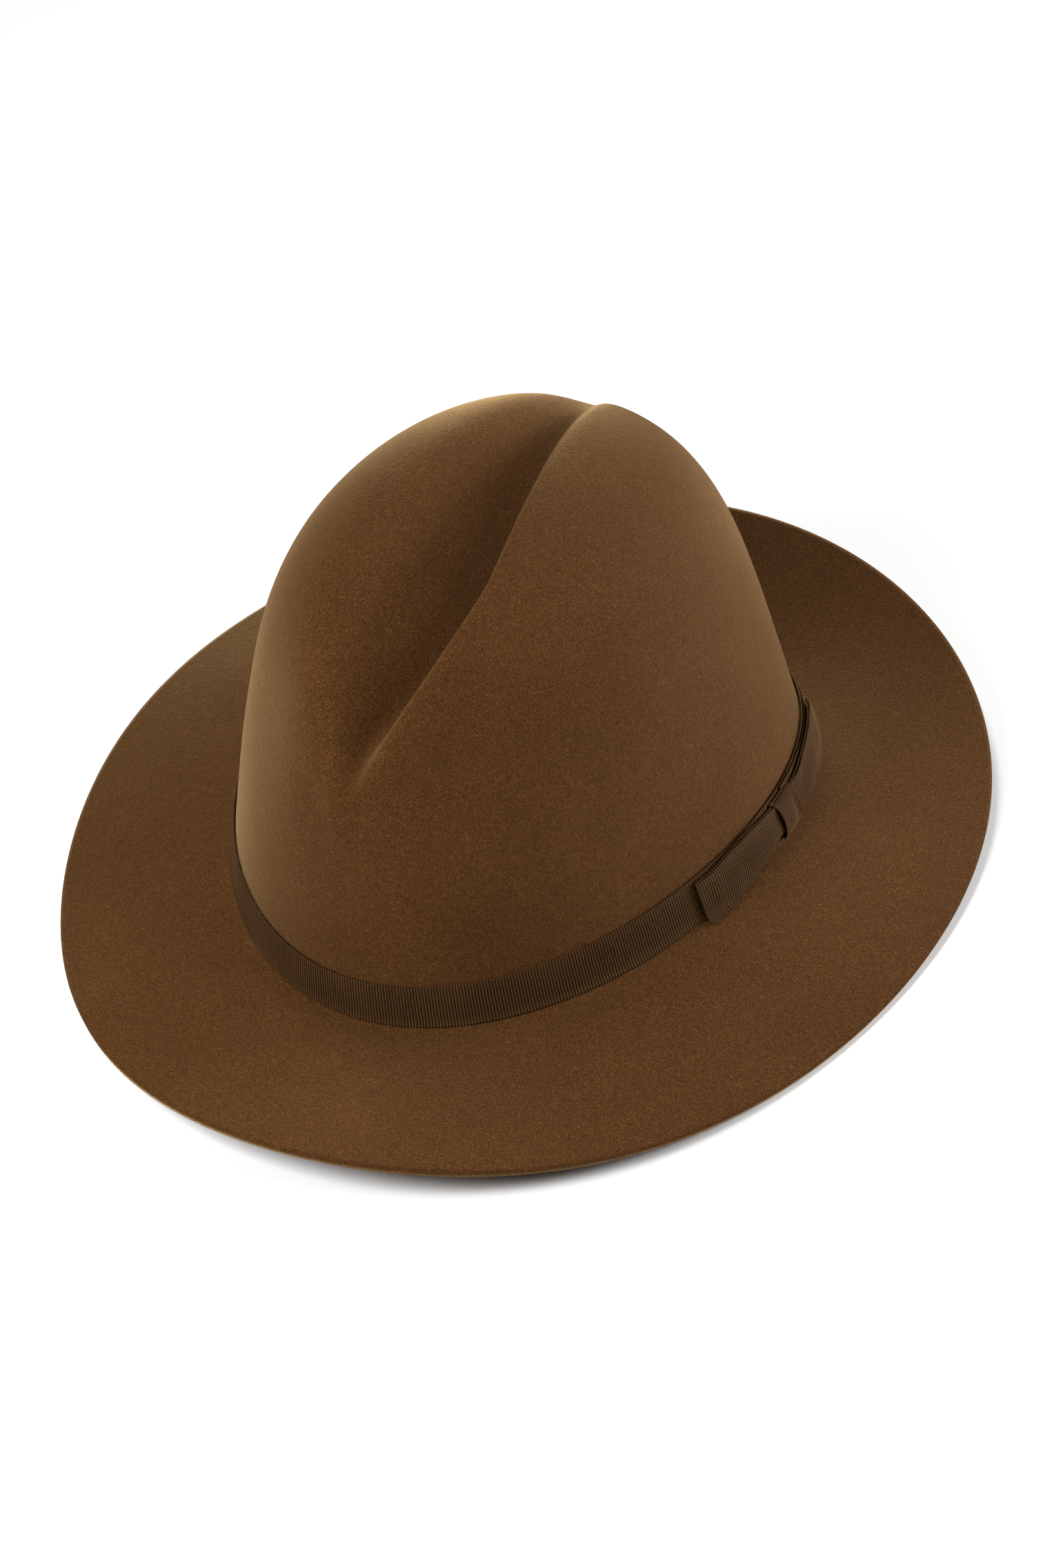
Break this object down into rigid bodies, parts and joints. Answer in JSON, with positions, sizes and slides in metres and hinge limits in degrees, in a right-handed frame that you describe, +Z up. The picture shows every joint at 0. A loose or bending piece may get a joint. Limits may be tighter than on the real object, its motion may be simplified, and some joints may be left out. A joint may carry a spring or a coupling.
{
  "type": "soft felt hat",
  "caption": "Soft brown felt hat with a creased and pinched crown, a snap brim with a raw cut edge, a narrow grosgrain band with a flat bow, a leather sweatband and a lining.",
  "frame": {"origin": "under the middle of the hat's outline, at the level the brim stands on", "axes": "+Z up, the front of the hat towards -Y, the wearer's left with the bow towards +X"},
  "size_m": [0.2754, 0.3172, 0.1352],
  "materials": {
    "felt": "short-napped fur felt, tobacco brown, dull with a faint sheen on its nap",
    "ribbon": "grosgrain ribbon, dark grey-brown, crosswise ribs, dull",
    "dark_thread": "sewing thread, dark brown",
    "sweat_leather": "thin tan sheepskin, smooth, half matt",
    "reed_plastic": "extruded reed, brown, matt",
    "welt_tape": "narrow woven tape, brown",
    "pale_thread": "sewing thread, light tan",
    "inner_ribbon": "narrow ribbon, dark brown",
    "label_cloth": "plain woven label with no lettering, cream",
    "satin": "satin lining, light brown, silky sheen",
    "piping_cord": "satin-covered cord, brown"
  },
  "bodies": {
    "hat": {"felt_body": "felt", "hatband_ribbon": "ribbon", "bow_front_loop": "ribbon", "bow_back_loop": "ribbon", "bow_knot": "ribbon", "bow_tail": "ribbon", "ribbon_tack_stitches": "dark_thread", "bow_stitches": "dark_thread", "sweatband_leather": "sweat_leather", "sweatband_reed": "reed_plastic", "sweatband_welt": "welt_tape", "sweatband_lock_stitches": "pale_thread", "sweatband_seam_tape": "welt_tape", "sweatband_seam_stitches": "pale_thread", "sweatband_bow": "inner_ribbon", "blank_maker_label": "label_cloth", "blank_size_tag": "label_cloth", "lining_side": "satin", "lining_tip": "satin", "lining_piping": "piping_cord", "lining_tip_patch": "label_cloth"},
    "front_brim": {"brim_front": "felt"}
  },
  "joints": [
    {"name": "front_brim_snap", "type": "hinge", "parent": "hat", "child": "front_brim", "pos_m": [0.0013, -0.1067, 0.01538], "axis": [-1, 0, 0], "range_deg": [0, 35]}
  ]
}
